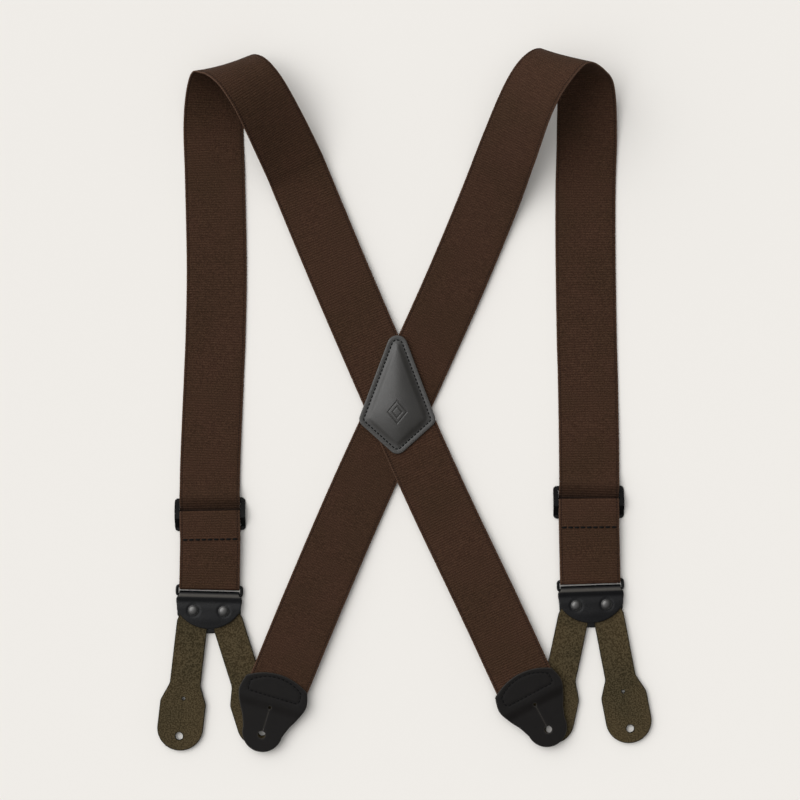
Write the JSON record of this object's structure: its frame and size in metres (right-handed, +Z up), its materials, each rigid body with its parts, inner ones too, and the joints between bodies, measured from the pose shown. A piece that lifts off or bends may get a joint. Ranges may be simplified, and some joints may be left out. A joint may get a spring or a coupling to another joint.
{
  "type": "suspenders",
  "caption": "X-back work suspenders in wide dark elastic webbing, laid flat, with a leather crossing patch, slides, wire rings and leather button tabs.",
  "frame": {"origin": "on the underside of the leather backing piece, under the middle of the crossing", "axes": "+Y towards the shoulder loops, +X to the viewer's right with the back side up, +Z up from the table"},
  "size_m": [0.4168, 0.59, 0.0636],
  "materials": {
    "webbing": "ribbed elastic webbing, matte",
    "black_leather": "fine grain, satin",
    "lining_leather": "smooth, matte",
    "suede": "suede side up, matte",
    "black_metal": "satin black",
    "gunmetal": "dark plated, polished",
    "thread": "waxed black thread"
  },
  "bodies": {
    "straps": {"left_strap": "webbing", "right_strap": "webbing", "left_strap_front": "webbing", "right_strap_front": "webbing", "patch_front": "black_leather", "patch_backing": "black_leather", "patch_stitching": "thread"},
    "left_adjuster": {"left_slide": "black_metal", "left_sewn_end": "webbing", "left_seam": "thread", "left_strap_drop": "webbing", "left_strap_return": "webbing"},
    "left_lower_fold": {"left_ring_fold": "webbing"},
    "left_ring_link": {"left_ring": "black_metal"},
    "left_flap_set": {"left_flap": "black_leather", "left_outer_rivet_post": "gunmetal", "left_outer_rivet_cap": "gunmetal", "left_inner_rivet_post": "gunmetal", "left_inner_rivet_cap": "gunmetal"},
    "left_outer_tab_body": {"left_outer_tab": "suede"},
    "left_inner_tab_body": {"left_inner_tab": "suede"},
    "left_back_end_body": {"left_back_end": "webbing", "left_back_tab": "black_leather", "left_back_tab_lining": "lining_leather", "left_back_tab_stitching": "thread"},
    "right_adjuster": {"right_slide": "black_metal", "right_sewn_end": "webbing", "right_seam": "thread", "right_strap_drop": "webbing", "right_strap_return": "webbing"},
    "right_lower_fold": {"right_ring_fold": "webbing"},
    "right_ring_link": {"right_ring": "black_metal"},
    "right_flap_set": {"right_flap": "black_leather", "right_outer_rivet_post": "gunmetal", "right_outer_rivet_cap": "gunmetal", "right_inner_rivet_post": "gunmetal", "right_inner_rivet_cap": "gunmetal"},
    "right_outer_tab_body": {"right_outer_tab": "suede"},
    "right_inner_tab_body": {"right_inner_tab": "suede"},
    "right_back_end_body": {"right_back_end": "webbing", "right_back_tab": "black_leather", "right_back_tab_lining": "lining_leather", "right_back_tab_stitching": "thread"}
  },
  "joints": [
    {"name": "left_slide_travel", "type": "slide", "parent": "straps", "child": "left_adjuster", "axis": [0.0175, 0.9998, 0], "range_m": [-0.03, 0.08], "deforming": ["left_strap_front", "left_strap_drop", "left_strap_return"]},
    {"name": "left_fold_follow", "type": "slide", "parent": "left_adjuster", "child": "left_lower_fold", "axis": [0.0175, 0.9998, 0], "range_m": [-0.04, 0.015]},
    {"name": "left_ring_tilt", "type": "hinge", "parent": "left_lower_fold", "child": "left_ring_link", "pos_m": [-0.1584, -0.1496, 0.00325], "axis": [-0.9997, 0.0262, 0], "range_deg": [0, 15]},
    {"name": "left_flap_swing", "type": "hinge", "parent": "left_ring_link", "child": "left_flap_set", "pos_m": [-0.1586, -0.1572, 0.00325], "axis": [-0.9997, 0.0262, 0], "range_deg": [0, 15]},
    {"name": "left_outer_tab_swivel", "type": "hinge", "parent": "left_flap_set", "child": "left_outer_tab_body", "pos_m": [-0.17173, -0.16976, 0.0022], "axis": [0, 0, 1], "range_deg": [-40, 5]},
    {"name": "left_inner_tab_swivel", "type": "hinge", "parent": "left_flap_set", "child": "left_inner_tab_body", "pos_m": [-0.14614, -0.17043, 0.0022], "axis": [0, 0, 1], "range_deg": [-7, 25]},
    {"name": "left_back_end_lift", "type": "hinge", "parent": "straps", "child": "left_back_end_body", "pos_m": [-0.0345, -0.0769, 0.00375], "axis": [-0.9136, 0.4067, 0], "range_deg": [0, 30]},
    {"name": "right_slide_travel", "type": "slide", "parent": "straps", "child": "right_adjuster", "axis": [0, 1, 0], "range_m": [-0.03, 0.08], "deforming": ["right_strap_front", "right_strap_drop", "right_strap_return"]},
    {"name": "right_fold_follow", "type": "slide", "parent": "right_adjuster", "child": "right_lower_fold", "axis": [0, 1, 0], "range_m": [-0.04, 0.015]},
    {"name": "right_ring_tilt", "type": "hinge", "parent": "right_lower_fold", "child": "right_ring_link", "pos_m": [0.16282, -0.14461, 0.00325], "axis": [-0.9993, -0.0366, 0], "range_deg": [0, 15]},
    {"name": "right_flap_swing", "type": "hinge", "parent": "right_ring_link", "child": "right_flap_set", "pos_m": [0.1631, -0.1522, 0.00325], "axis": [-0.9993, -0.0366, 0], "range_deg": [0, 15]},
    {"name": "right_outer_tab_swivel", "type": "hinge", "parent": "right_flap_set", "child": "right_outer_tab_body", "pos_m": [0.17636, -0.16462, 0.0022], "axis": [0, 0, 1], "range_deg": [-5, 40]},
    {"name": "right_inner_tab_swivel", "type": "hinge", "parent": "right_flap_set", "child": "right_inner_tab_body", "pos_m": [0.15078, -0.16556, 0.0022], "axis": [0, 0, 1], "range_deg": [-25, 7]},
    {"name": "right_back_end_lift", "type": "hinge", "parent": "straps", "child": "right_back_end_body", "pos_m": [0.035, -0.0769, 0.00525], "axis": [-0.91, -0.4147, 0], "range_deg": [0, 30]}
  ],
  "couplings": [
    {"joint": "left_fold_follow", "follows": "left_slide_travel", "ratio": -0.5},
    {"joint": "left_flap_swing", "follows": "left_ring_tilt", "ratio": 1},
    {"joint": "left_back_end_lift", "follows": "left_ring_tilt", "ratio": 1.9},
    {"joint": "right_fold_follow", "follows": "right_slide_travel", "ratio": -0.5},
    {"joint": "right_flap_swing", "follows": "right_ring_tilt", "ratio": 1},
    {"joint": "right_back_end_lift", "follows": "right_ring_tilt", "ratio": 1.9}
  ]
}
